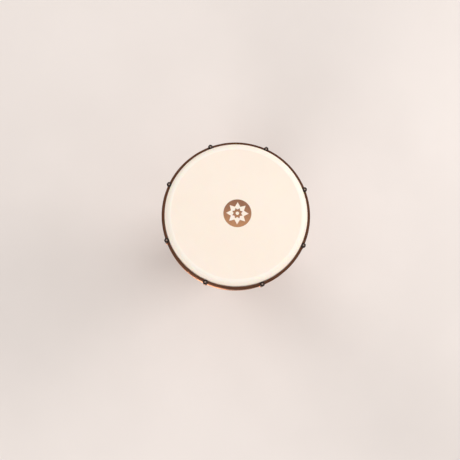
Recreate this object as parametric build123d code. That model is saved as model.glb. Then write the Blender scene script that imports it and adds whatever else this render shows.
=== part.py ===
"""Egyptian-style tabla: a goblet hand drum with a synthetic head, tuned by eight bolts.

Frame: millimetres, +Z up, origin on the floor at the centre of the foot.
The copper shell is two spun parts, a bowl and a foot, joined at the throat by an inner sleeve, an outer
band and rivets. A cast bearing rim closes the bowl's mouth. The head's flesh hoop hangs round that rim, and
the counterhoop presses it down. Eight bolts pull the counterhoop towards the lug ring, which bears up
against a bead brazed round the bowl.
"""
from build123d import *
from math import acos, cos, degrees, radians, sin
import os

# Overall sizes and the head
HEAD_Z = 430.0            # playing surface above the floor
FLAT_R = 106.0            # radius of the flat part of the head
FILM_R = 117.0            # outside radius of the head's collar
FILM_T = 0.25             # thickness of the head's film
FILM_DEPTH = 25.5         # playing surface to the collar's lower edge
FIT_GAP = 0.05            # between pieces that are pressed, glued or stretched together

# Counterhoop and flesh hoop
HOOP_TOP_Z = HEAD_Z - 16.0
HOOP_LEDGE = 4.0          # thickness of the ledge above the flesh hoop
HOOP_HEIGHT = 10.0
HOOP_IN_R = FILM_R + 0.9
HOOP_OUT_R = 122.5
SKIRT_IN_R = 119.6
HOOP_EDGE = 1.4           # bevel along the counterhoop's outside
EAR_R, EAR_EDGE = 4.1, 0.4      # rounded ear round each bolt
FLESH_IN_R, FLESH_OUT_R = FILM_R + 0.3, 118.8
FLESH_HEIGHT = 6.0

# Tension bolts, M4, and their washers
BOLTS = 8
BOLT_CIRCLE_R = 121.2
FIRST_BOLT_DEG = 22.5
BOLT_TURN_STEP = 25.0     # each head stands turned this much further than the one before
SHANK_R = 1.95
RUNNING_R = 2.02          # holes that the shank turns in
BOLT_LENGTH = 45.0
HEAD_FLATS, HEAD_HEIGHT = 7.0, 2.8
WASHER_R, WASHER_T = 3.9, 0.8

# Lug ring, its threaded inserts, pad and stop bead
LUG_TOP_Z = HEAD_Z - 46.0
LUG_HEIGHT = 10.0
LUG_IN_R, LUG_OUT_R = 117.0, 123.4
LUG_ROUND = 1.6
BOSS_R, BOSS_EDGE = 4.3, 0.8
INSERT_R = 2.9
FLANGE_R, FLANGE_T = 3.7, 1.0
PAD_IN_R, PAD_OUT_R, PAD_T = 116.9, 118.8, 1.5
BEAD_R = 2.0

# Bearing rim and the bowl's mouth
WALL = 1.6                # copper sheet
RIM_R = FILM_R - FILM_T - FIT_GAP
SHELL_R = RIM_R - 0.1
MOUTH_Z = HEAD_Z - 29.0   # top edge of the copper bowl
RIM_FOOT_Z = HEAD_Z - 46.0
RIM_WALL = 2.8
RIM_TIP_R = 103.5         # inner tip of the bearing rim
RIM_TAPER = 6.0           # height over which the rim thins towards its tip
RIM_RIVET_Z = HEAD_Z - 34.5

# Bowl and throat
BELLY_Z = HEAD_Z - 64.0   # the bowl is a plain cylinder above this height
BELLY_BEND = 115.0
NECK_BEND = 80.0
THROAT_R = 51.0
JOINT_Z = 208.0           # bowl and foot butt together here

# Foot, from the floor up
TRIM_T = 3.0              # rubber round the foot's lip
TRIM_HEIGHT = 9.0
TRIM_ROUND = 1.2
LIP = 4.0                 # straight lip inside the rubber
LIP_BEND = 5.0
BELL_BEND, BELL_TURN = 30.0, radians(64.0)
STEM_BEND, STEM_TURN = 603.0, radians(15.9)

# Throat joint
SLEEVE_T, SLEEVE_HALF = 1.4, 18.0
BAND_T, BAND_HALF = 1.4, 11.0
BAND_BEAD_R = 1.6
RIVETS = 8
RIVET_ROW = 5.0           # rivet rows above and below the joint
RIVET_R = 1.5
RIVET_HEAD_R, RIVET_HEAD_T = 2.6, 1.3
RIVET_TAIL_R, RIVET_TAIL_T = 2.3, 0.8


def turned(outline):
    """Solid of revolution about Z from a closed outline drawn as (radius, height)."""
    return revolve(make_face(Plane.XZ * outline), Axis.Z)


def ring(r_in, r_out, z_low, z_high):
    """Plain ring standing between two heights."""
    return turned(Polyline((r_in, z_low), (r_out, z_low), (r_out, z_high), (r_in, z_high), close=True))


def rod(radius, z_low, z_high):
    """Cylinder on the Z axis between two heights."""
    return Pos(0, 0, (z_low + z_high) / 2) * Cylinder(radius, z_high - z_low)


def spun_sheet(outline):
    """Copper sheet of one wall thickness inside an open outline that is drawn from the top down."""
    return turned(offset(outline, WALL, side=Side.RIGHT, closed=True))


def at_bolts(shape):
    """One copy of a shape on the Z axis at each bolt."""
    angles = [FIRST_BOLT_DEG + 360 / BOLTS * i for i in range(BOLTS)]
    return [Rot(0, 0, angle) * Pos(BOLT_CIRCLE_R, 0, 0) * shape for angle in angles]


# Rivets -----------------------------------------------------------------------------------------------

def outward(z, angle_deg):
    """Placement that turns a shape's +Z to point away from the drum's axis, at a height and an angle."""
    return Rot(0, 0, angle_deg) * Pos(0, 0, z) * Rot(0, 90, 0)


def rivet(wall_in_r, wall_out_r, z, angle_deg):
    """Rivet through a round wall: a domed head outside, a shank, and a flat tail inside."""
    bury = 0.4
    dome_r = (RIVET_HEAD_R**2 + RIVET_HEAD_T**2) / (2 * RIVET_HEAD_T)
    head = Pos(0, 0, wall_out_r + RIVET_HEAD_T - dome_r) * Sphere(dome_r)
    head &= rod(RIVET_HEAD_R, wall_out_r - bury, wall_out_r + dome_r)
    tail = rod(RIVET_TAIL_R, wall_in_r - RIVET_TAIL_T, wall_in_r)
    shank = rod(RIVET_R, wall_in_r - bury, wall_out_r + bury)
    place = outward(z, angle_deg)
    tall = RIVET_HEAD_R + 1
    head = place * head - rod(wall_out_r, z - tall, z + tall)
    tail = place * tail & rod(wall_in_r, z - tall, z + tall)
    return place * shank + head + tail


def neck_places():
    """Height and angle of each throat rivet: one row through the bowl's end, one through the foot's."""
    pitch = 360 / RIVETS
    upper = [(JOINT_Z + RIVET_ROW, pitch * i) for i in range(RIVETS)]
    lower = [(JOINT_Z - RIVET_ROW, pitch * (i + 0.5)) for i in range(RIVETS)]
    return upper + lower


def rim_places():
    """Height and angle of each rivet between bowl and bearing rim, midway between bolts."""
    return [(RIM_RIVET_Z, 360 / BOLTS * i) for i in range(BOLTS)]


def drilled(shape, places, r_in, r_out):
    """The shape with a rivet hole at each place."""
    return shape - [outward(z, angle) * rod(RIVET_R, r_in - 1, r_out + 1) for z, angle in places]


# Head -------------------------------------------------------------------------------------------------

def head_film():
    """Film drawn flat, rolled down over the bearing rim and ending in a straight collar."""
    bend = FILM_R - FLAT_R
    bend_z = HEAD_Z - bend
    in_r, low = FILM_R - FILM_T, HEAD_Z - FILM_DEPTH
    outline = Line((0, HEAD_Z), (FLAT_R, HEAD_Z)) + CenterArc((FLAT_R, bend_z), bend, 90, -90)
    outline += Polyline((FILM_R, bend_z), (FILM_R, low), (in_r, low), (in_r, bend_z))
    outline += CenterArc((FLAT_R, bend_z), bend - FILM_T, 0, 90)
    outline += Polyline((FLAT_R, HEAD_Z - FILM_T), (0, HEAD_Z - FILM_T), (0, HEAD_Z))
    return turned(outline)


def flesh_hoop():
    """Aluminium hoop that holds the lower edge of the film."""
    top = HOOP_TOP_Z - HOOP_LEDGE
    return ring(FLESH_IN_R, FLESH_OUT_R, top - FLESH_HEIGHT, top)


def bearing_rim():
    """Cast ring with a rounded nose under the head and a skirt inside the bowl's mouth."""
    nose = RIM_R - FLAT_R
    bend_z = HEAD_Z - FILM_T - FIT_GAP - nose
    tip_bend = FLAT_R - RIM_TIP_R
    tip_z = bend_z + nose - tip_bend
    skirt_r = SHELL_R - WALL - FIT_GAP
    inner_r = skirt_r - RIM_WALL
    outline = CenterArc((FLAT_R, bend_z), nose, 90, -90)
    outline += Polyline(
        (RIM_R, bend_z), (RIM_R, MOUTH_Z), (skirt_r, MOUTH_Z), (skirt_r, RIM_FOOT_Z),
        (inner_r, RIM_FOOT_Z), (inner_r, bend_z - RIM_TAPER), (RIM_TIP_R, bend_z), (RIM_TIP_R, tip_z),
    )
    outline += CenterArc((FLAT_R, tip_z), tip_bend, 180, -90)
    return drilled(turned(outline), rim_places(), inner_r, skirt_r)


def rim_rivets():
    inner_r = SHELL_R - WALL - FIT_GAP - RIM_WALL
    return [rivet(inner_r, SHELL_R, z, angle) for z, angle in rim_places()]


# Tensioning -------------------------------------------------------------------------------------------

def counterhoop():
    """Hoop with a ledge over the flesh hoop, a skirt outside it and an ear for each bolt."""
    low = HOOP_TOP_Z - HOOP_HEIGHT
    body = rod(HOOP_OUT_R, low, HOOP_TOP_Z)
    ear = rod(EAR_R, low, HOOP_TOP_Z)
    body = chamfer(body.edges().filter_by(GeomType.CIRCLE), HOOP_EDGE)
    body = body + at_bolts(chamfer(ear.edges().filter_by(GeomType.CIRCLE), EAR_EDGE))
    body -= rod(SKIRT_IN_R, low - 1, HOOP_TOP_Z - HOOP_LEDGE)
    body -= rod(HOOP_IN_R, low, HOOP_TOP_Z + 1)
    return body - at_bolts(rod(RUNNING_R, low - 1, HOOP_TOP_Z + 1))


def bolt_washers():
    return at_bolts(ring(RUNNING_R, WASHER_R, HOOP_TOP_Z, HOOP_TOP_Z + WASHER_T))


def tension_bolt(turn_deg):
    """Hex bolt on the Z axis, at its own height, with a chamfered head and tip."""
    seat_z = HOOP_TOP_Z + WASHER_T
    corner_r = HEAD_FLATS / 3**0.5
    cap = chamfer(rod(corner_r + 0.1, seat_z, seat_z + HEAD_HEIGHT).edges().group_by(Axis.Z)[-1], 0.35, 0.7)
    hexagon = extrude(RegularPolygon(HEAD_FLATS / 2, 6, major_radius=False), HEAD_HEIGHT)
    shank = rod(SHANK_R, seat_z - BOLT_LENGTH, seat_z)
    shank = chamfer(shank.edges().group_by(Axis.Z)[0], 0.5)
    return Rot(0, 0, turn_deg) * ((Pos(0, 0, seat_z) * hexagon & cap) + shank)


def tension_bolts():
    """The eight bolts in their places, each left at a turn of its own, as tuning leaves them."""
    return [at_bolts(tension_bolt(BOLT_TURN_STEP * i))[i] for i in range(BOLTS)]


def lug_ring():
    """Ring under the bowl's bead, with a boss for each threaded insert."""
    low = LUG_TOP_Z - LUG_HEIGHT
    body = rod(LUG_OUT_R, low, LUG_TOP_Z)
    body = fillet(body.edges().filter_by(GeomType.CIRCLE), LUG_ROUND)
    boss = rod(BOSS_R, low, LUG_TOP_Z)
    body = body + at_bolts(chamfer(boss.edges().filter_by(GeomType.CIRCLE), BOSS_EDGE))
    body -= rod(LUG_IN_R, low - 1, LUG_TOP_Z + 1)
    return body - at_bolts(rod(INSERT_R + FIT_GAP, low - 1, LUG_TOP_Z + 1))


def lug_inserts():
    """Steel threaded inserts, drawn up into the lug ring from below against their flanges."""
    low = LUG_TOP_Z - LUG_HEIGHT
    barrel = ring(RUNNING_R, INSERT_R, low, LUG_TOP_Z)
    return at_bolts(barrel + ring(RUNNING_R, FLANGE_R, low - FLANGE_T, low))


def lug_ring_pad():
    return ring(PAD_IN_R, PAD_OUT_R, LUG_TOP_Z, LUG_TOP_Z + PAD_T)


def stop_bead():
    """Half-round bead brazed round the bowl; the lug ring pulls up against it."""
    low = LUG_TOP_Z + PAD_T
    outline = Line((SHELL_R, low + 2 * BEAD_R), (SHELL_R, low))
    return turned(outline + CenterArc((SHELL_R, low + BEAD_R), BEAD_R, -90, 180))


# Shell ------------------------------------------------------------------------------------------------

def shell_bowl():
    """Cylinder under the rim, then a round belly, then a hollow bend into the throat."""
    bends = BELLY_BEND + NECK_BEND
    turn = acos((THROAT_R - SHELL_R + bends) / bends)
    throat_z = BELLY_Z - bends * sin(turn)
    outline = Line((SHELL_R, MOUTH_Z), (SHELL_R, BELLY_Z))
    outline += CenterArc((SHELL_R - BELLY_BEND, BELLY_Z), BELLY_BEND, 0, -degrees(turn))
    outline += CenterArc((THROAT_R + NECK_BEND, throat_z), NECK_BEND, 180 - degrees(turn), degrees(turn))
    outline += Line((THROAT_R, throat_z), (THROAT_R, JOINT_Z))
    bowl = drilled(spun_sheet(outline), rim_places(), SHELL_R - WALL, SHELL_R)
    return drilled(bowl, neck_places()[:RIVETS], THROAT_R - WALL, THROAT_R)


def foot_lip_r():
    """Outside radius of the foot's straight lip."""
    stem = STEM_BEND * (1 - cos(STEM_TURN))
    bell = BELL_BEND * (cos(STEM_TURN) - cos(BELL_TURN))
    return THROAT_R + stem + bell + LIP_BEND * (1 - cos(BELL_TURN))


def shell_foot():
    """Straight stem, a long flare, a short bell and a lip turned down into the trim."""
    lip_r = foot_lip_r()
    lip_z = TRIM_T + LIP
    bell_r = lip_r - LIP_BEND * (1 - cos(BELL_TURN)) + BELL_BEND * cos(BELL_TURN)
    bell_z = lip_z + (LIP_BEND + BELL_BEND) * sin(BELL_TURN)
    stem_z = bell_z + (STEM_BEND - BELL_BEND) * sin(STEM_TURN)
    outline = Line((THROAT_R, JOINT_Z), (THROAT_R, stem_z))
    outline += CenterArc((THROAT_R + STEM_BEND, stem_z), STEM_BEND, 180, degrees(STEM_TURN))
    bell_start, bell_sweep = 180 + degrees(STEM_TURN), degrees(BELL_TURN - STEM_TURN)
    outline += CenterArc((bell_r, bell_z), BELL_BEND, bell_start, bell_sweep)
    outline += CenterArc((lip_r - LIP_BEND, lip_z), LIP_BEND, degrees(BELL_TURN), -degrees(BELL_TURN))
    outline += Line((lip_r, lip_z), (lip_r, TRIM_T))
    return drilled(spun_sheet(outline), neck_places()[RIVETS:], THROAT_R - WALL, THROAT_R)


def foot_trim():
    """Rubber channel pressed over the foot's lip; the drum stands on it."""
    lip_r = foot_lip_r()
    body = ring(lip_r - WALL - TRIM_T, lip_r + TRIM_T, 0, TRIM_HEIGHT)
    body = fillet(body.edges().filter_by(GeomType.CIRCLE), TRIM_ROUND)
    return body - ring(lip_r - WALL, lip_r, TRIM_T, TRIM_HEIGHT + 1) - shell_foot()


def neck_sleeve():
    out_r = THROAT_R - WALL - FIT_GAP
    sleeve = ring(out_r - SLEEVE_T, out_r, JOINT_Z - SLEEVE_HALF, JOINT_Z + SLEEVE_HALF)
    return drilled(sleeve, neck_places(), out_r - SLEEVE_T, out_r)


def neck_band():
    """Band round the joint, with a bead along each edge."""
    in_r = THROAT_R + FIT_GAP
    band = ring(in_r, in_r + BAND_T, JOINT_Z - BAND_HALF, JOINT_Z + BAND_HALF)
    for z in (JOINT_Z - BAND_HALF, JOINT_Z + BAND_HALF):
        band += Pos(0, 0, z) * Torus(in_r + BAND_BEAD_R, BAND_BEAD_R)
    return drilled(band, neck_places(), in_r, in_r + BAND_T)


def neck_rivets():
    inner_r = THROAT_R - WALL - FIT_GAP - SLEEVE_T
    outer_r = THROAT_R + FIT_GAP + BAND_T
    return [rivet(inner_r, outer_r, z, angle) for z, angle in neck_places()]


def main():
    nodes = {
        "shell_bowl": shell_bowl(),
        "shell_foot": shell_foot(),
        "foot_trim": foot_trim(),
        "neck_sleeve": neck_sleeve(),
        "neck_band": neck_band(),
        "neck_rivets": neck_rivets(),
        "bearing_rim": bearing_rim(),
        "rim_rivets": rim_rivets(),
        "stop_bead": stop_bead(),
        "lug_ring_pad": lug_ring_pad(),
        "lug_ring": lug_ring(),
        "lug_inserts": lug_inserts(),
        "head_film": head_film(),
        "flesh_hoop": flesh_hoop(),
        "counterhoop": counterhoop(),
        "bolt_washers": bolt_washers(),
    }
    for number, bolt in enumerate(tension_bolts(), start=1):
        nodes[f"tension_bolt_{number}"] = bolt

    os.makedirs("parts", exist_ok=True)
    for name, shape in nodes.items():
        pieces = shape if isinstance(shape, list) else [shape]
        solids = [solid for piece in pieces for solid in piece.solids()]
        export_step(Compound(children=solids), f"parts/{name}.step")


main()
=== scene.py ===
"""Looks for the goblet drum: hammered copper shell, synthetic head, bronze-black hoop and steel bolts."""

import math

import bmesh
import bpy
import numpy as np
from mathutils import Matrix, Vector
from mathutils.kdtree import KDTree


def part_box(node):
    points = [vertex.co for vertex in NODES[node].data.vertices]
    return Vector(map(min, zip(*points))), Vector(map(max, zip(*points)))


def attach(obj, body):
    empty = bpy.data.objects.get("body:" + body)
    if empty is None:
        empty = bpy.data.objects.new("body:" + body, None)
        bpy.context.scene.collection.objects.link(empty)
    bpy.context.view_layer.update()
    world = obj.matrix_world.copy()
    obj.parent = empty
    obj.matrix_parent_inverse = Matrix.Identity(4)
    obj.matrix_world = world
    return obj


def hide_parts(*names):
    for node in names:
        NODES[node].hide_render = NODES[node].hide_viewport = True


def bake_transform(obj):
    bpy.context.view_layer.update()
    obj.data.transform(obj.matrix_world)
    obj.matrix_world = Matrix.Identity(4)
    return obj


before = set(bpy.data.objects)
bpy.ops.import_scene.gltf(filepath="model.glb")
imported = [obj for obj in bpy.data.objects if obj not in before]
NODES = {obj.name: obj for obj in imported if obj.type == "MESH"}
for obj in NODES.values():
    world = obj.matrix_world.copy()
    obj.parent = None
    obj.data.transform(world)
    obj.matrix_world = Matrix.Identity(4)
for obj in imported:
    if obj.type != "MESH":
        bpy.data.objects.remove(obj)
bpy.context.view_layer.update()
MM = 0.001

# Places read from the frame
HEAD_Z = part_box("head_film")[1].z
FILM_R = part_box("head_film")[1].x
FILM_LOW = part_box("head_film")[0].z
SHELL_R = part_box("shell_bowl")[1].x
MOUTH_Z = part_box("shell_bowl")[1].z
JOINT_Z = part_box("shell_bowl")[0].z
FOOT_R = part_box("shell_foot")[1].x
LIP_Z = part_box("shell_foot")[0].z

# Head
FLAT_R = 106 * MM
FILM_T = 0.25 * MM
PRINT_R = 22.8 * MM
PRINT_CENTRE = (1.5 * MM, 0.5 * MM)      # a little off the drum's axis
INK_T = 0.03 * MM
FILM_TOP = HEAD_Z - INK_T                # the ink alone reaches the top of the CAD box


# Mesh helpers -----------------------------------------------------------------------------------------

def make_object(name, vertices, faces):
    """New smooth object from a list of points and faces."""
    mesh = bpy.data.meshes.new(name)
    mesh.from_pydata([tuple(v) for v in vertices], [], faces)
    mesh.validate()
    mesh.shade_smooth()
    obj = bpy.data.objects.new(name, mesh)
    bpy.context.scene.collection.objects.link(obj)
    return obj


def arc(centre, radius, start_deg, end_deg, steps):
    """Points of an arc in the (radius, height) plane, both ends included."""
    angles = [math.radians(start_deg + (end_deg - start_deg) * i / steps) for i in range(steps + 1)]
    return [(centre[0] + radius * math.cos(a), centre[1] + radius * math.sin(a)) for a in angles]


def resample(points, step):
    """The same outline with points about one step apart along it, its own corners kept."""
    out = [points[0]]
    for a, b in zip(points, points[1:]):
        count = max(1, round(math.dist(a, b) / step))
        shares = [i / count for i in range(1, count + 1)]
        out += [(a[0] + (b[0] - a[0]) * t, a[1] + (b[1] - a[1]) * t) for t in shares]
    return out


def grid_faces(rows, columns, wrap_rows=False):
    """Quads of a grid whose columns run right round; wrap_rows also joins the last row to the first."""
    faces = []
    for i in range(rows if wrap_rows else rows - 1):
        a, b = i * columns, (i + 1) % rows * columns
        faces += [(a + j, b + j, b + (j + 1) % columns, a + (j + 1) % columns) for j in range(columns)]
    return faces


def lathe(name, outline, columns):
    """Outline of (radius, height) points turned about Z. Points on the axis become one point each."""
    vertices, rows = [], []
    for r, z in outline:
        if r < 1e-9:
            rows.append([len(vertices)] * columns)
            vertices.append((0.0, 0.0, z))
        else:
            rows.append(list(range(len(vertices), len(vertices) + columns)))
            turn = [2 * math.pi * j / columns for j in range(columns)]
            vertices += [(r * math.cos(a), r * math.sin(a), z) for a in turn]
    faces = []
    for low, high in zip(rows, rows[1:]):
        for j in range(columns):
            k = (j + 1) % columns
            corners = dict.fromkeys((low[j], low[k], high[k], high[j]))
            if len(corners) > 2:
                faces.append(tuple(corners))
    return make_object(name, vertices, faces)


def close_up(obj, sharp_deg):
    """Welds points that lie in one place, turns all faces of the closed piece outward, marks sharp edges."""
    bm = bmesh.new()
    bm.from_mesh(obj.data)
    bmesh.ops.remove_doubles(bm, verts=bm.verts, dist=1e-7)
    bmesh.ops.recalc_face_normals(bm, faces=bm.faces)
    bm.to_mesh(obj.data)
    bm.free()
    obj.data.set_sharp_from_angle(angle=math.radians(sharp_deg))
    return obj


# Material helpers -------------------------------------------------------------------------------------

class Look:
    """A node material being built round one Principled shader, in object coordinates."""

    def __init__(self, name, **shader):
        self.material = bpy.data.materials.new(name)
        self.material.use_nodes = True
        self.tree = self.material.node_tree
        self.bsdf = self.tree.nodes["Principled BSDF"]
        self.point = self.node("ShaderNodeTexCoord").outputs["Object"]
        self.set(**shader)

    def node(self, kind, inputs=None, **settings):
        made = self.tree.nodes.new(kind)
        for key, value in settings.items():
            setattr(made, key, value)
        for key, value in (inputs or {}).items():
            self.feed(made.inputs[key], value)
        return made

    def feed(self, socket, value):
        if isinstance(value, bpy.types.NodeSocket):
            self.tree.links.new(value, socket)
        else:
            socket.default_value = value

    def set(self, **inputs):
        """Sets shader inputs by name, with _ for a space: base_color, roughness, coat_weight."""
        for key, value in inputs.items():
            words = key.replace("_", " ").title().replace("Ior", "IOR")
            self.feed(self.bsdf.inputs[words], value)

    def stretched(self, x, y, z):
        return self.node("ShaderNodeMapping", {"Vector": self.point, "Scale": (x, y, z)}).outputs["Vector"]

    def noise(self, scale, detail, roughness, point=None, distortion=0.0):
        made = self.node("ShaderNodeTexNoise", {
            "Vector": point or self.point, "Scale": scale, "Detail": detail, "Roughness": roughness,
            "Distortion": distortion})
        return made.outputs["Fac"]

    def from_axis(self):
        """Distance from the drum's axis."""
        flat = self.stretched(1.0, 1.0, 0.0)
        return self.node("ShaderNodeVectorMath", {0: flat}, operation="LENGTH").outputs["Value"]

    def attribute(self, name):
        return self.node("ShaderNodeAttribute", attribute_name=name).outputs["Fac"]

    def span(self, value, low, high, out_low=0.0, out_high=1.0):
        """Value mapped smoothly from low..high to out_low..out_high."""
        made = self.node("ShaderNodeMapRange", {
            "Value": value, "From Min": low, "From Max": high, "To Min": out_low, "To Max": out_high},
            interpolation_type="SMOOTHSTEP")
        return made.outputs["Result"]

    def math(self, operation, a, b):
        made = self.node("ShaderNodeMath", operation=operation)
        self.feed(made.inputs[0], a)
        self.feed(made.inputs[1], b)
        return made.outputs[0]

    def mix(self, share, a, b):
        """Colour between a and b, which are rgb tuples or sockets."""
        made = self.node("ShaderNodeMix", data_type="RGBA")
        self.feed(made.inputs[0], share)
        for socket, colour in ((made.inputs[6], a), (made.inputs[7], b)):
            self.feed(socket, (*colour, 1.0) if isinstance(colour, tuple) else colour)
        return made.outputs[2]

    def bump(self, height, depth, normal=None):
        """Bump of a 0..1 height that stands depth metres high, over an optional earlier bump."""
        made = self.node("ShaderNodeBump", {"Height": height, "Distance": depth, "Strength": 1.0})
        if normal:
            self.feed(made.inputs["Normal"], normal)
        return made.outputs["Normal"]

    def edges(self, radius):
        """0 on flat ground, rising to 1 within a radius of an edge."""
        rounded = self.node("ShaderNodeBevel", {"Radius": radius}, samples=6).outputs["Normal"]
        true = self.node("ShaderNodeNewGeometry").outputs["Normal"]
        dot = self.node("ShaderNodeVectorMath", operation="DOT_PRODUCT")
        self.feed(dot.inputs[0], rounded)
        self.feed(dot.inputs[1], true)
        return self.span(dot.outputs["Value"], 0.99, 0.80)


def paint(obj, look):
    """Puts one material on the whole object."""
    obj.data.materials.clear()
    obj.data.materials.append(look.material)
    return obj


# Materials --------------------------------------------------------------------------------------------

def copper_outside():
    """Hammered copper: toned brown in the hammer marks, brighter on the ridges between them."""
    look = Look("hammered_copper", metallic=1.0)
    depth = look.attribute("mark_depth")
    clouds = look.noise(9.0, 6.0, 0.6, distortion=0.4)
    fine = look.noise(160.0, 5.0, 0.6)
    tone = look.mix(look.span(clouds, 0.35, 0.7), (0.80, 0.375, 0.200), (0.66, 0.275, 0.140))
    toned = look.mix(look.span(depth, 0.30, 0.95, 0.0, 0.36), tone, (0.40, 0.150, 0.074))
    spots = look.span(look.noise(34.0, 7.0, 0.7), 0.58, 0.74)
    toned = look.mix(look.math("MULTIPLY", spots, 0.5), toned, (0.24, 0.095, 0.055))
    rough = look.math("ADD", look.span(fine, 0.3, 0.7, 0.13, 0.21), look.span(clouds, 0.3, 0.7, 0.0, 0.10))
    scratches = look.noise(60.0, 3.0, 0.7, point=look.stretched(1.0, 1.0, 9.0))
    look.set(base_color=toned, roughness=rough)
    look.set(normal=look.bump(scratches, 0.03 * MM, look.bump(fine, 0.04 * MM)))
    return look


def copper_inside():
    """The unpolished inside of the spun shell: brown, with rings left by the spinning tool."""
    look = Look("copper_inside", metallic=1.0)
    clouds = look.noise(14.0, 6.0, 0.65)
    rings = look.noise(1.0, 3.0, 0.6, point=look.stretched(2.0, 2.0, 420.0))
    tone = look.mix(look.span(clouds, 0.35, 0.68), (0.40, 0.175, 0.095), (0.22, 0.095, 0.055))
    look.set(base_color=tone, roughness=look.span(clouds, 0.3, 0.7, 0.34, 0.55))
    look.set(normal=look.bump(rings, 0.06 * MM))
    return look


def turned_metal(name, light, dark, rough_low, rough_high):
    """Metal polished in a lathe: fine rings round the axis and dulled patches."""
    look = Look(name, metallic=1.0)
    clouds = look.noise(22.0, 5.0, 0.6)
    rings = look.noise(1.0, 4.0, 0.65, point=look.stretched(4.0, 4.0, 700.0))
    tarnish = look.span(look.noise(70.0, 6.0, 0.7), 0.56, 0.72)
    tone = look.mix(look.span(clouds, 0.35, 0.7), light, dark)
    tone = look.mix(look.math("MULTIPLY", tarnish, 0.5), tone, tuple(c * 0.5 for c in dark))
    look.set(base_color=tone, roughness=look.span(rings, 0.3, 0.7, rough_low, rough_high))
    look.set(normal=look.bump(rings, 0.02 * MM))
    return look


def cast_metal():
    """Satin cast aluminium with the grain of the mould."""
    look = Look("cast_aluminium", metallic=1.0)
    grain = look.noise(900.0, 4.0, 0.7)
    clouds = look.noise(25.0, 4.0, 0.6)
    look.set(base_color=look.mix(look.span(clouds, 0.3, 0.7), (0.60, 0.60, 0.61), (0.46, 0.46, 0.47)))
    look.set(roughness=look.span(grain, 0.3, 0.7, 0.42, 0.62), normal=look.bump(grain, 0.08 * MM))
    return look


def dark_bronze():
    """Dark bronze finish, thin and glossy, rubbed through to brown along the edges."""
    look = Look("dark_bronze", metallic=0.8)
    clouds = look.noise(40.0, 5.0, 0.6)
    orange_peel = look.noise(1500.0, 2.0, 0.5)
    patchy = look.span(look.noise(180.0, 5.0, 0.7), 0.38, 0.62)
    wear = look.math("MULTIPLY", look.edges(0.6 * MM), patchy)
    tone = look.mix(look.span(clouds, 0.3, 0.7), (0.075, 0.029, 0.014), (0.105, 0.043, 0.021))
    look.set(base_color=look.mix(wear, tone, (0.34, 0.17, 0.095)))
    look.set(roughness=look.span(clouds, 0.3, 0.7, 0.28, 0.40))
    look.set(normal=look.bump(orange_peel, 0.01 * MM))
    return look


def black_oxide():
    """Black oxide over steel, rubbed to brown-grey along the edges."""
    look = Look("black_oxide", metallic=0.85)
    clouds = look.noise(300.0, 4.0, 0.6)
    scratches = look.noise(900.0, 3.0, 0.7, point=look.stretched(1.0, 0.15, 1.0))
    wear = look.math("MULTIPLY", look.edges(0.15 * MM), look.span(clouds, 0.4, 0.7))
    tone = look.mix(look.span(clouds, 0.3, 0.7), (0.018, 0.014, 0.012), (0.029, 0.024, 0.021))
    look.set(base_color=look.mix(wear, tone, (0.20, 0.165, 0.14)))
    look.set(roughness=look.span(scratches, 0.3, 0.7, 0.34, 0.50), normal=look.bump(scratches, 0.01 * MM))
    return look


def bare_steel_and_dish_highlight():
    """Dulled bare steel for the lug inserts. In the sunk middle of a bolt head it is a painted highlight,
    paler than the black around it.
    """
    look = Look("bare_steel_and_dish_highlight", metallic=1.0)
    swirls = look.noise(1800.0, 5.0, 0.7)
    look.set(base_color=look.mix(look.span(swirls, 0.3, 0.7), (0.30, 0.225, 0.19), (0.21, 0.155, 0.13)))
    look.set(roughness=look.span(swirls, 0.3, 0.7, 0.30, 0.45), normal=look.bump(swirls, 0.01 * MM))
    return look


def rubber(name, tone, grain_scale):
    """Black rubber with a fine grain and a little dust."""
    look = Look(name)
    grain = look.noise(grain_scale, 4.0, 0.7)
    dust = look.span(look.noise(45.0, 6.0, 0.7), 0.5, 0.72, 0.0, 0.35)
    look.set(base_color=look.mix(dust, tone, (0.16, 0.145, 0.13)))
    look.set(roughness=look.span(grain, 0.3, 0.7, 0.62, 0.85), normal=look.bump(grain, 0.07 * MM))
    return look


def coated_film():
    """Cream-white coated film: fine pebble grain, faint clouding and playing marks, paler over the rim as a
    painted highlight and warmer down the collar as painted bounce light.
    """
    look = Look("coated_film", ior=1.5, subsurface_weight=0.15, subsurface_scale=2 * MM)
    clouds = look.noise(11.0, 5.0, 0.6)
    grain = look.noise(1300.0, 3.0, 0.6)
    scuffs = look.span(look.noise(30.0, 8.0, 0.75, point=look.stretched(1.0, 0.35, 1.0)), 0.60, 0.80)
    # Painted highlight: the film is paler where it bends over the rim
    painted_highlight_over_rim = look.span(look.from_axis(), FLAT_R - 0.8 * MM, FLAT_R + 0.8 * MM)
    tone = look.mix(look.span(clouds, 0.3, 0.7), (0.885, 0.770, 0.682), (0.873, 0.754, 0.662))
    # Painted warm bounce light: the film turns peach down the collar
    painted_bounce_down_collar = look.span(look.from_axis(), FLAT_R + 3 * MM, FILM_R)
    tone = look.mix(painted_highlight_over_rim, tone, (0.900, 0.822, 0.742))
    tone = look.mix(painted_bounce_down_collar, tone, (0.905, 0.785, 0.675))
    look.set(base_color=look.mix(look.math("MULTIPLY", scuffs, 0.2), tone, (0.81, 0.68, 0.57)))
    look.set(roughness=look.span(scuffs, 0.0, 1.0, 0.50, 0.40), normal=look.bump(grain, 0.02 * MM))
    return look


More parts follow.
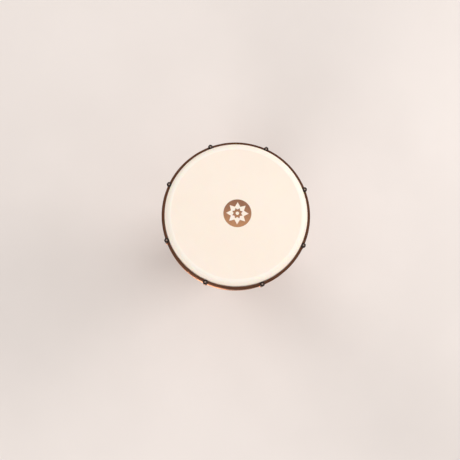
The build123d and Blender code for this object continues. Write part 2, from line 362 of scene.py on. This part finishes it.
def printed_ink():
    """Brown screen-printed ink, lighter towards the player as a painted sheen, with the pebbles of the film
    under it.
    """
    look = Look("printed_ink", ior=1.5, roughness=0.5)
    across = look.node("ShaderNodeSeparateXYZ", {"Vector": look.point}).outputs["Y"]
    # Painted sheen: the ink turns lighter towards the player, at -Y, with random mottling added
    painted_sheen_to_player = look.span(across, PRINT_R, -PRINT_R)
    sheen_and_mottling = look.math("ADD", painted_sheen_to_player, look.span(look.noise(260.0, 5.0, 0.7), 0.3, 0.7, -0.15, 0.15))
    look.set(base_color=look.mix(sheen_and_mottling, (0.235, 0.102, 0.050), (0.405, 0.200, 0.090)))
    look.set(normal=look.bump(look.noise(1300.0, 3.0, 0.6), 0.02 * MM))
    return look


def pale_floor():
    """Matt paper-like floor with the faintest clouding."""
    look = Look("pale_floor", roughness=0.9)
    clouds = look.noise(3.0, 4.0, 0.5)
    look.set(base_color=look.mix(look.span(clouds, 0.3, 0.7), (0.70, 0.68, 0.66), (0.67, 0.65, 0.63)))
    return look


# Hammered shell ---------------------------------------------------------------------------------------

# Sizes of the shell's outline, as the frame's CAD draws it
WALL = 1.6 * MM
BELLY_Z = HEAD_Z - 64 * MM
BELLY_BEND, NECK_BEND = 115 * MM, 80 * MM
THROAT_R = 51 * MM
STEM_BEND, STEM_TURN = 603 * MM, 15.9
BELL_BEND, BELL_TURN = 30 * MM, 64.0
LIP_BEND, LIP_RISE = 5 * MM, 4 * MM
BELLY_STEPS, NECK_STEPS = 60, 48
STEM_STEPS, BELL_STEPS, LIP_STEPS = 60, 20, 8

# Hammer marks and turned grooves
MARK_PITCH = 8.6 * MM      # round the shell
ROW_PITCH = 0.86 * MARK_PITCH
MARK_R = 7.2 * MM
MARK_DEPTH = 0.72 * MM
MARK_SIZES = (0.86, 1.12)      # smallest and largest mark, as shares of the radius and depth above
TURN_JITTER, ROW_JITTER = 0.22, 0.18      # shares of a pitch that a mark may be off its place
MARK_FADE = 0.3 * MARK_PITCH      # length over which the marks die out at each end
NEAREST_MARKS = 4          # looked at for each point
GROOVE_DEPTH, GROOVE_HALF = 0.45 * MM, 0.8 * MM
GROOVE_TONE = 0.8          # a groove is toned like a mark of this share of the full depth
BOWL_BORDER = 11 * MM      # smooth metal under the lugs
BOWL_GROOVES = (5 * MM, 8 * MM)      # below the lugs
BAND_BORDER = 8 * MM       # smooth metal each side of the neck band
BAND_GROOVE = 5 * MM       # from the neck band
BELL_TOP = 39 * MM         # the bell is smooth below this height
BELL_GROOVES = (36 * MM, 33 * MM)      # heights
SHEET_STEP = 1.5 * MM
BOWL_COLUMNS, FOOT_COLUMNS = 480, 384
BOWL_SEED, FOOT_SEED = 11, 12


def hammer_marks(rows, seed):
    """Centre, radius and depth of each hammer mark on rows of (radius, height), staggered and uneven."""
    rng = np.random.default_rng(seed)
    marks = []
    for number, (r, z) in enumerate(rows):
        count = round(2 * math.pi * r / MARK_PITCH)
        for j in range(count):
            turn = 2 * math.pi * (j + 0.5 * (number % 2) + rng.uniform(-TURN_JITTER, TURN_JITTER)) / count
            height = z + rng.uniform(-ROW_JITTER, ROW_JITTER) * MARK_PITCH
            size = rng.uniform(*MARK_SIZES)
            marks.append(((r * math.cos(turn), r * math.sin(turn), height), MARK_R * size, MARK_DEPTH * size))
    return marks


def sheet_metal(name, outline, columns, hammered, grooves, seed):
    """Turned sheet with hammer marks between two heights and fine grooves at given heights.

    outline is the outer side from the top down, evenly spaced. Marks and grooves only go inward from it.
    Material 0 goes on the outside and the two edges, material 1 on the inside."""
    points = np.array(outline)
    along = np.gradient(points, axis=0)
    along /= np.linalg.norm(along, axis=1)[:, None]
    normals = np.stack([-along[:, 1], along[:, 0]], axis=1)
    travelled = np.concatenate([[0], np.cumsum(np.linalg.norm(np.diff(points, axis=0), axis=1))])
    first, last = [travelled[np.argmin(abs(points[:, 1] - z))] for z in hammered]
    stops = np.arange(first + MARK_PITCH * 0.5, last, ROW_PITCH)
    rows = [(np.interp(s, travelled, points[:, 0]), np.interp(s, travelled, points[:, 1])) for s in stops]
    marks = hammer_marks(rows, seed)
    tree = KDTree(len(marks))
    for number, (centre, _, _) in enumerate(marks):
        tree.insert(centre, number)
    tree.balance()

    turns = 2 * np.pi * np.arange(columns) / columns
    vertices, depths = [], []
    for (r, z), normal, s in zip(points, normals, travelled):
        groove = max(max(0.0, 1 - abs(z - g) / GROOVE_HALF) for g in grooves)
        share = min(1.0, max(0.0, min(s - first, last - s) / MARK_FADE))
        for a in turns:
            sunk = 0.0
            if share > 0:
                for _, number, away in tree.find_n((r * math.cos(a), r * math.sin(a), z), NEAREST_MARKS):
                    _, size, depth = marks[number]
                    sunk = max(sunk, share * depth * (1 - (away / size) ** 2))
            drop = sunk + GROOVE_DEPTH * groove
            out = r - drop * normal[0]
            vertices.append((out * math.cos(a), out * math.sin(a), z - drop * normal[1]))
            depths.append(sunk / MARK_DEPTH + GROOVE_TONE * groove)

    # The inside has a third of the rows and half the columns
    inner = (points - normals * WALL)[::-1]
    inner = np.concatenate([inner[:-1:3], inner[-1:]])
    for r, z in inner:
        vertices += [(r * math.cos(a), r * math.sin(a), z) for a in turns[::2]]
        depths += [0.0] * len(turns[::2])
    half, outer_count = columns // 2, len(points) * columns
    outside = grid_faces(len(points), columns)
    inside = [tuple(outer_count + v for v in face) for face in grid_faces(len(inner), half)]
    low, high = outer_count - columns, outer_count + (len(inner) - 1) * half
    edges = []
    for j in range(half):
        k, near, far = (j + 1) % half, 2 * j, (2 * j + 2) % columns
        edges.append((low + near, outer_count + j, outer_count + k, low + far, low + near + 1))
        edges.append((high + j, near, near + 1, far, high + k))
    obj = make_object(name, vertices, outside + edges + inside)
    for polygon in obj.data.polygons[len(outside + edges):]:
        polygon.material_index = 1
    layer = obj.data.attributes.new("mark_depth", "FLOAT", "POINT")
    layer.data.foreach_set("value", np.array(depths, np.float32))
    return close_up(obj, 50.0)


def bowl_outline(step):
    bends = BELLY_BEND + NECK_BEND
    turn = math.degrees(math.acos((THROAT_R - SHELL_R + bends) / bends))
    throat_z = BELLY_Z - bends * math.sin(math.radians(turn))
    points = [(SHELL_R, MOUTH_Z)]
    points += arc((SHELL_R - BELLY_BEND, BELLY_Z), BELLY_BEND, 0, -turn, BELLY_STEPS)
    points += arc((THROAT_R + NECK_BEND, throat_z), NECK_BEND, 180 - turn, 180, NECK_STEPS)[1:]
    points += [(THROAT_R, JOINT_Z)]
    return resample(points, step)


def foot_outline(step):
    bell_turn, stem_turn = math.radians(BELL_TURN), math.radians(STEM_TURN)
    lip_z = LIP_Z + LIP_RISE
    bell_r = FOOT_R - LIP_BEND * (1 - math.cos(bell_turn)) + BELL_BEND * math.cos(bell_turn)
    bell_z = lip_z + (LIP_BEND + BELL_BEND) * math.sin(bell_turn)
    stem_z = bell_z + (STEM_BEND - BELL_BEND) * math.sin(stem_turn)
    points = [(THROAT_R, JOINT_Z)]
    points += arc((THROAT_R + STEM_BEND, stem_z), STEM_BEND, 180, 180 + STEM_TURN, STEM_STEPS)
    points += arc((bell_r, bell_z), BELL_BEND, 180 + STEM_TURN, 180 + BELL_TURN, BELL_STEPS)[1:]
    points += arc((FOOT_R - LIP_BEND, lip_z), LIP_BEND, BELL_TURN, 0, LIP_STEPS)[1:]
    points += [(FOOT_R, LIP_Z)]
    return resample(points, step)


def build_shell(outside, inside):
    """Bowl and foot, each hammered between the smooth ends that the neck band, lugs and bell need."""
    coarse = 1
    step = SHEET_STEP * coarse
    band_low, band_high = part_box("neck_band")[0].z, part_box("neck_band")[1].z
    lug_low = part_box("lug_inserts")[0].z
    bowl_hammered = (lug_low - BOWL_BORDER, band_high + BAND_BORDER)
    bowl_grooves = (*(lug_low - drop for drop in BOWL_GROOVES), band_high + BAND_GROOVE)
    foot_hammered = (band_low - BAND_BORDER, BELL_TOP)
    foot_grooves = (band_low - BAND_GROOVE, *BELL_GROOVES)
    bowl = sheet_metal("bowl_hammered", bowl_outline(step), BOWL_COLUMNS // coarse,
                       bowl_hammered, bowl_grooves, BOWL_SEED)
    foot = sheet_metal("foot_hammered", foot_outline(step), FOOT_COLUMNS // coarse,
                       foot_hammered, foot_grooves, FOOT_SEED)
    for piece, node in ((bowl, "shell_bowl"), (foot, "shell_foot")):
        piece.data.materials.append(outside.material)
        piece.data.materials.append(inside.material)
        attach(piece, "shell")
        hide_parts(node)


# Head -------------------------------------------------------------------------------------------------

FILM_STEPS, FILM_COLUMNS = 24, 256
COLLAR_STEP = 1.0 * MM
PRINT_COLUMNS = 384
INK_BITE = 0.05 * MM       # how far the print's lower face reaches into the film

STAR_POINTS = 8
BARE_TIP_R, BARE_NOTCH_R = 0.80 * PRINT_R, 0.50 * PRINT_R
STAR_TIP_R, STAR_NOTCH_R = 0.40 * PRINT_R, 0.27 * PRINT_R
STAR_HOLE_R = 0.12 * PRINT_R


def build_film(look):
    """The head's film, stretched between the drum's rim and the flesh hoop."""
    bend = FILM_R - FLAT_R
    bend_z = FILM_TOP - bend
    flat = [FLAT_R * i / FILM_STEPS for i in range(FILM_STEPS)]
    outline = [(r, FILM_TOP) for r in flat]
    outline += arc((FLAT_R, bend_z), bend, 90, 0, FILM_STEPS)
    outline += resample([(FILM_R, bend_z), (FILM_R, FILM_LOW)], COLLAR_STEP)[1:]
    outline += resample([(FILM_R - FILM_T, FILM_LOW), (FILM_R - FILM_T, bend_z)], COLLAR_STEP)
    outline += arc((FLAT_R, bend_z), bend - FILM_T, 0, 90, FILM_STEPS)[1:]
    outline += [(r, FILM_TOP - FILM_T) for r in reversed(flat)]
    film = paint(close_up(lathe("head_film_skin", outline, FILM_COLUMNS), 60.0), look)
    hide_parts("head_film")
    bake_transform(film)


def star_edge(outer, inner, turned):
    """Distance from a star's centre to its straight-sided edge, as a function of the angle."""
    half = math.pi / STAR_POINTS
    bx, by = inner * math.cos(half), inner * math.sin(half)

    def edge(angle):
        a = abs((angle + turned + half) % (2 * half) - half)
        return outer * by / (math.cos(a) * by + math.sin(a) * (outer - bx))

    return edge


def circle_edge(radius):
    return lambda angle: radius


def flat_ring(name, inner, outer, low, high):
    """Closed flat piece round the print's centre, between two edges, each a function of the angle."""
    vertices = []
    for edge, z in ((inner, high), (outer, high), (outer, low), (inner, low)):
        for j in range(PRINT_COLUMNS):
            a = 2 * math.pi * j / PRINT_COLUMNS
            x, y = edge(a) * math.cos(a), edge(a) * math.sin(a)
            vertices.append((PRINT_CENTRE[0] + x, PRINT_CENTRE[1] + y, z))
    return close_up(make_object(name, vertices, grid_faces(4, PRINT_COLUMNS, wrap_rows=True)), 30.0)


def build_print(look):
    """A generic eight-pointed rosette, left bare of ink in a brown disc, with a brown star inside it."""
    bare = star_edge(BARE_TIP_R, BARE_NOTCH_R, 0.0)
    star = star_edge(STAR_TIP_R, STAR_NOTCH_R, math.pi / STAR_POINTS)
    for name, inner, outer in (("print_ground", bare, circle_edge(PRINT_R)),
                               ("print_star", circle_edge(STAR_HOLE_R), star)):
        piece = paint(flat_ring(name, inner, outer, FILM_TOP - INK_BITE, HEAD_Z), look)
        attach(piece, "shell")


# Bolts ------------------------------------------------------------------------------------------------

PITCH = 0.7 * MM
SHANK_R, ROOT_R = 1.95 * MM, 1.60 * MM
FLANK = 1.35               # how steeply the thread's sides fall, with a flat at its crest
THREAD_LENGTH = 26 * MM
TIP_LENGTH, TIP_R = 0.5 * MM, ROOT_R - 0.15 * MM
HALF_FLATS = 3.5 * MM
CHAMFER_R, CHAMFER_SLOPE = 3.25 * MM, math.tan(math.radians(30))
DISH_R, DISH_DEPTH = 1.7 * MM, 0.25 * MM      # the sunk middle of a cold-headed bolt


def bolt_axis(node):
    """Centre of a bolt's shank and the angle of one corner of its head, read from its CAD mesh."""
    points = np.array([v.co for v in NODES[node].data.vertices])
    tip = points[points[:, 2] < points[:, 2].min() + 1 * MM]
    centre = (tip.min(0) + tip.max(0)) / 2
    head = points[points[:, 2] > points[:, 2].max() - 2 * MM] - centre
    corner = head[np.argmax(np.hypot(head[:, 0], head[:, 1]))]
    return centre[0], centre[1], math.atan2(corner[1], corner[0])


def bolt_head(top, seat, corner_turn, turns):
    """Rings of (radius, height) from the middle of the head's top down to the shank under it.

    The small insets soften the edges."""
    def flats(inset, top_z):
        ring = []
        for a in turns:
            r = HALF_FLATS / math.cos((a - corner_turn) % (math.pi / 3) - math.pi / 6)
            ring.append((r - inset, top_z - max(0.0, r - CHAMFER_R) * CHAMFER_SLOPE))
        return ring

    def round_ring(r, z):
        return [(r, z)] * len(turns)

    return [
        round_ring(0.0, top - DISH_DEPTH),
        round_ring(DISH_R - DISH_DEPTH, top - DISH_DEPTH),
        round_ring(DISH_R, top - 0.04 * MM),
        round_ring(DISH_R + 0.06 * MM, top),
        round_ring(CHAMFER_R - 0.1 * MM, top),
        flats(0.05 * MM, top - 0.02 * MM),
        flats(0.0, top - 0.08 * MM),
        [(r, seat + 0.15 * MM) for r, _ in flats(0.0, top)],
        [(r, seat) for r, _ in flats(0.1 * MM, top)],
        round_ring(SHANK_R, seat),
    ]


def cut_thread(top, low, turns):
    """Rings of (radius, height) down a shank with one start of thread, run out at its top."""
    steps = 6
    rings = [[(SHANK_R, top + PITCH)] * len(turns)]
    for i in range(int((top - low - TIP_LENGTH) / PITCH * steps) + 1):
        z = top - i * PITCH / steps
        sunk = (SHANK_R - ROOT_R) * min(1.0, i / steps)
        ring = []
        for a in turns:
            phase = (z / PITCH - a / (2 * math.pi)) % 1.0
            ring.append((SHANK_R - sunk * (1 - min(1.0, FLANK * abs(2 * phase - 1))), z))
        rings.append(ring)
    return rings + [[(TIP_R, low)] * len(turns), [(0.0, low)] * len(turns)]


def build_bolt(node, body, look, dish_highlight_look):
    """Hex bolt with a chamfered, dished head and a cut thread."""
    low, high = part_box(node)
    x, y, corner_turn = bolt_axis(node)
    columns = 48
    turns = [2 * math.pi * j / columns for j in range(columns)]
    rings = bolt_head(high.z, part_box("bolt_washers")[1].z, corner_turn, turns)
    rings += cut_thread(low.z + THREAD_LENGTH, low.z, turns)
    vertices = []
    for ring in rings:
        vertices += [(x + r * math.cos(a), y + r * math.sin(a), z) for (r, z), a in zip(ring, turns)]
    bolt = make_object(node + "_threaded", vertices, grid_faces(len(rings), columns))
    # The dish in the head's top takes the second material, a painted highlight paler than the black head
    for polygon in bolt.data.polygons[:columns]:
        polygon.material_index = 1
    close_up(bolt, 28.0)
    bolt.data.materials.append(look.material)
    bolt.data.materials.append(dish_highlight_look.material)
    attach(bolt, body)
    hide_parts(node)


# Stage ------------------------------------------------------------------------------------------------

FLOOR_HALF = 14.0
WARM = (1.0, 0.93, 0.90)
SKY, SKY_STRENGTH = (1.0, 0.95, 0.92, 1.0), 0.28


def build_stage():
    corners = [(x * FLOOR_HALF, y * FLOOR_HALF, 0) for x, y in ((-1, -1), (1, -1), (1, 1), (-1, 1))]
    paint(make_object("floor", corners, [(0, 1, 2, 3)]), pale_floor())


def area_light(name, place, size, power):
    """Warm softbox that looks at the middle of the drum and isn't itself seen by the camera."""
    data = bpy.data.lights.new(name, "AREA")
    data.shape = "RECTANGLE"
    data.size, data.size_y = size
    data.energy = power
    data.color = WARM
    obj = bpy.data.objects.new(name, data)
    obj.location = place
    obj.rotation_mode = "QUATERNION"
    obj.rotation_quaternion = (Vector((0, 0, 0.6 * HEAD_Z)) - Vector(place)).to_track_quat("-Z", "Y")
    obj.visible_camera = False
    bpy.context.scene.collection.objects.link(obj)


def build_lights():
    """Warm daylight from a window on the right, softer light from the other sides, and a pale ceiling."""
    area_light("window", (2.1, 0.7, 1.6), (1.8, 1.5), 54)
    area_light("front", (-0.9, -2.1, 1.2), (1.4, 1.5), 34)
    area_light("back", (-1.6, 1.6, 1.3), (1.2, 1.5), 26)
    area_light("ceiling", (0.0, 0.0, 2.9), (2.4, 2.4), 20)
    world = bpy.data.worlds.new("studio")
    world.use_nodes = True
    background = world.node_tree.nodes["Background"]
    background.inputs["Color"].default_value = SKY
    background.inputs["Strength"].default_value = SKY_STRENGTH
    bpy.context.scene.world = world
    bpy.context.scene.view_settings.view_transform = "Standard"


# The camera looks almost straight down, from the player's side
LENS, SENSOR = 50.0, 36.0
DISTANCE = 1.0363
ELEVATION, AZIMUTH, ROLL = 81.5, -12.0, 1.9
AIM_LEFT, AIM_DOWN = 0.579, 1.479      # degrees from the head's centre to the middle of the view


def basis(back, up):
    """Rotation whose Z is back and whose Y is as near up as it can be."""
    z = back.normalized()
    x = up.cross(z).normalized()
    return Matrix((x, z.cross(x), z)).transposed()


def build_camera():
    e, a, roll, left, down = (math.radians(v) for v in (ELEVATION, AZIMUTH, ROLL, AIM_LEFT, AIM_DOWN))
    back = Vector((math.sin(a) * math.cos(e), -math.cos(a) * math.cos(e), math.sin(e)))
    centred = basis(back, Vector((-math.sin(roll), math.cos(roll), 0)))
    aim = basis(Vector((-math.tan(left), -math.tan(down), 1)), Vector((0, 1, 0)))
    data = bpy.data.cameras.new("camera")
    data.lens, data.sensor_width = LENS, SENSOR
    camera = bpy.data.objects.new("camera", data)
    place = Matrix.Translation(Vector((0, 0, HEAD_Z)) + back * DISTANCE)
    camera.matrix_world = place @ (centred @ aim.transposed()).to_4x4()
    bpy.context.scene.collection.objects.link(camera)
    bpy.context.scene.camera = camera


# Assembly ---------------------------------------------------------------------------------------------

def main():
    build_camera()
    build_lights()
    build_stage()
    build_shell(copper_outside(), copper_inside())
    build_film(coated_film())
    build_print(printed_ink())
    # steel is bare steel on the lug inserts and a painted highlight in the bolt heads' dishes
    oxide, steel = black_oxide(), bare_steel_and_dish_highlight()
    for number in range(1, 9):
        build_bolt(f"tension_bolt_{number}", f"bolt_{number}", oxide, steel)

    brass = turned_metal("brushed_brass", (0.66, 0.43, 0.17), (0.52, 0.32, 0.12), 0.22, 0.36)
    plated = turned_metal("plated_copper", (0.70, 0.34, 0.19), (0.58, 0.26, 0.14), 0.16, 0.30)
    rolled = turned_metal("rolled_aluminium", (0.66, 0.66, 0.67), (0.55, 0.55, 0.56), 0.28, 0.42)
    bronze = dark_bronze()
    looks = {
        "neck_sleeve": brass, "neck_band": brass, "neck_rivets": brass, "rim_rivets": brass,
        "stop_bead": brass, "lug_ring": plated, "lug_inserts": steel, "bolt_washers": oxide,
        "counterhoop": bronze, "flesh_hoop": rolled, "bearing_rim": cast_metal(),
        "foot_trim": rubber("foot_rubber", (0.028, 0.026, 0.025), 900.0),
        "lug_ring_pad": rubber("pad_rubber", (0.035, 0.032, 0.030), 1200.0),
    }
    for node, look in looks.items():
        paint(NODES[node], look)


main()
